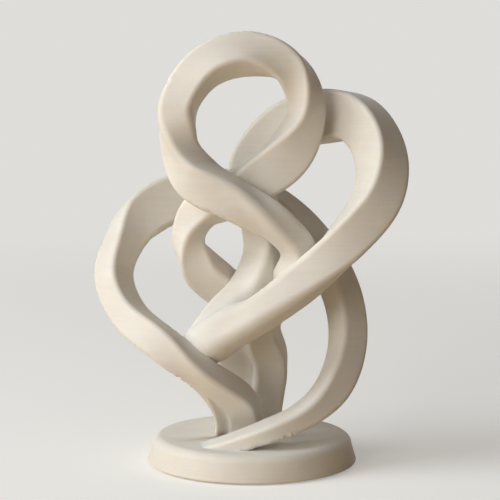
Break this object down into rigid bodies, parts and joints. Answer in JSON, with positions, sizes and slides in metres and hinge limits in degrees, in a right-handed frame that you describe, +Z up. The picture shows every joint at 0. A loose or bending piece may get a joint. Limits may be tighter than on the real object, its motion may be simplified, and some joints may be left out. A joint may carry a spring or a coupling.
{
  "type": "infinity sculpture",
  "caption": "Tabletop infinity sculpture: interlaced, twisting square bands forming a crown ring, side loop and outer loop on a round bevelled plinth.",
  "frame": {"origin": "on the table, under the middle of the round plinth (centre of the pad's underside)", "axes": "+Z up, +X to the viewer's right and +Y away from the viewer in the pictured view"},
  "size_m": [0.1791, 0.12, 0.2466],
  "materials": {
    "ivory": "matte ivory, faintly layered, edges softly rounded",
    "felt": "dark pressed felt",
    "beech": "plain beech dowel",
    "steel": "zinc-plated steel screw"
  },
  "bodies": {
    "root": {"base_plinth": "ivory", "base_pad": "felt", "left_arm": "ivory", "right_arm": "ivory", "crown_ring": "ivory", "side_loop_front": "ivory", "rear_stem": "ivory", "inner_curl": "ivory", "side_loop_back": "ivory", "arch_dowel": "beech", "stem_dowel": "beech", "curl_dowel": "beech", "loop_dowel": "beech", "crossing_pin": "beech", "front_pin": "beech", "back_pin": "beech", "left_pin": "beech", "nose_pin": "beech", "right_arm_screw": "steel", "left_arm_screw": "steel", "rear_stem_screw": "steel", "inner_curl_screw": "steel"}
  },
  "joints": []
}
